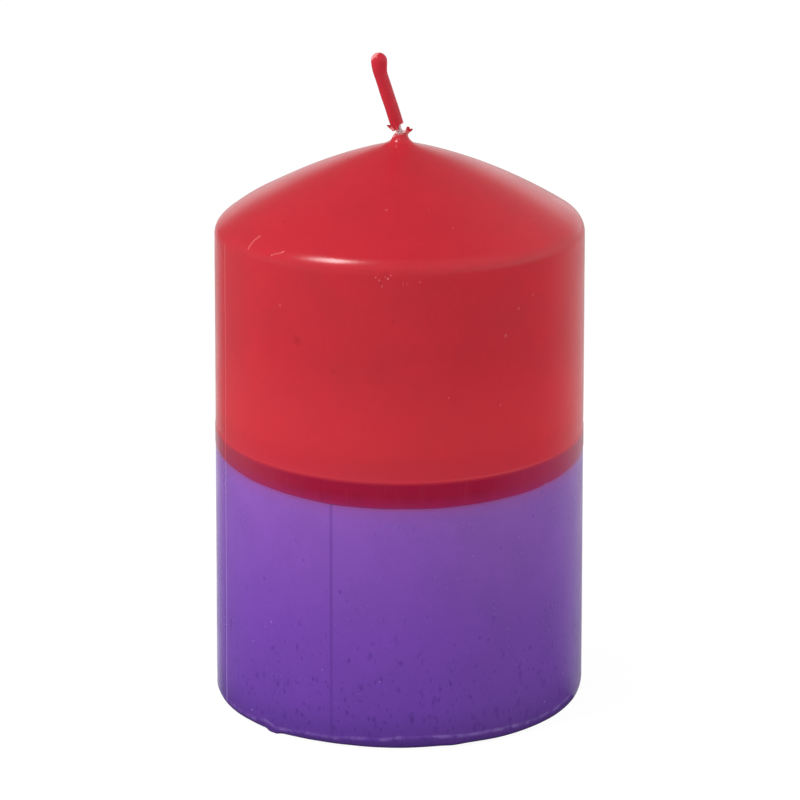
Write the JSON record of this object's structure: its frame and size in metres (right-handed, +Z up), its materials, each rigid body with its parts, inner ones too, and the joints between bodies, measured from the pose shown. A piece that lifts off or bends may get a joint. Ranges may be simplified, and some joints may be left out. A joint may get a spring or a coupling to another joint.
{
  "type": "dip-dye candle",
  "caption": "Upright pillar candle, dip-dyed red over violet with a darker lap band, domed top and a leaning wax-coated wick tip that hinges at its cracked foot.",
  "frame": {"origin": "centre of the candle's flat foot, on the surface that it stands on", "axes": "+Z up along the candle's axis towards the wick; the wick's tip leans towards -X and hinges about +Y"},
  "size_m": [0.07, 0.07, 0.1233],
  "materials": {
    "plain_wax": "undyed wax, satin",
    "violet_wax": "dyed dip coat, satin with specks near the foot",
    "red_wax": "dyed dip coat, satin gloss",
    "cotton": "bleached braid, part waxed",
    "tinned_steel": "bright tin plate"
  },
  "bodies": {
    "candle": {"wax_core": "plain_wax", "violet_dip_coat": "violet_wax", "red_dip_coat": "red_wax", "wick": "cotton", "wick_bend": "cotton", "wick_sustainer": "tinned_steel"},
    "wick_end": {"wick_tip": "cotton", "wick_tip_coat": "red_wax"}
  },
  "joints": [
    {"name": "wick_lean", "type": "hinge", "parent": "candle", "child": "wick_end", "pos_m": [0, 0, 0.10827], "axis": [0, 1, 0], "range_deg": [-20, 35], "deforming": ["wick_bend"]}
  ]
}
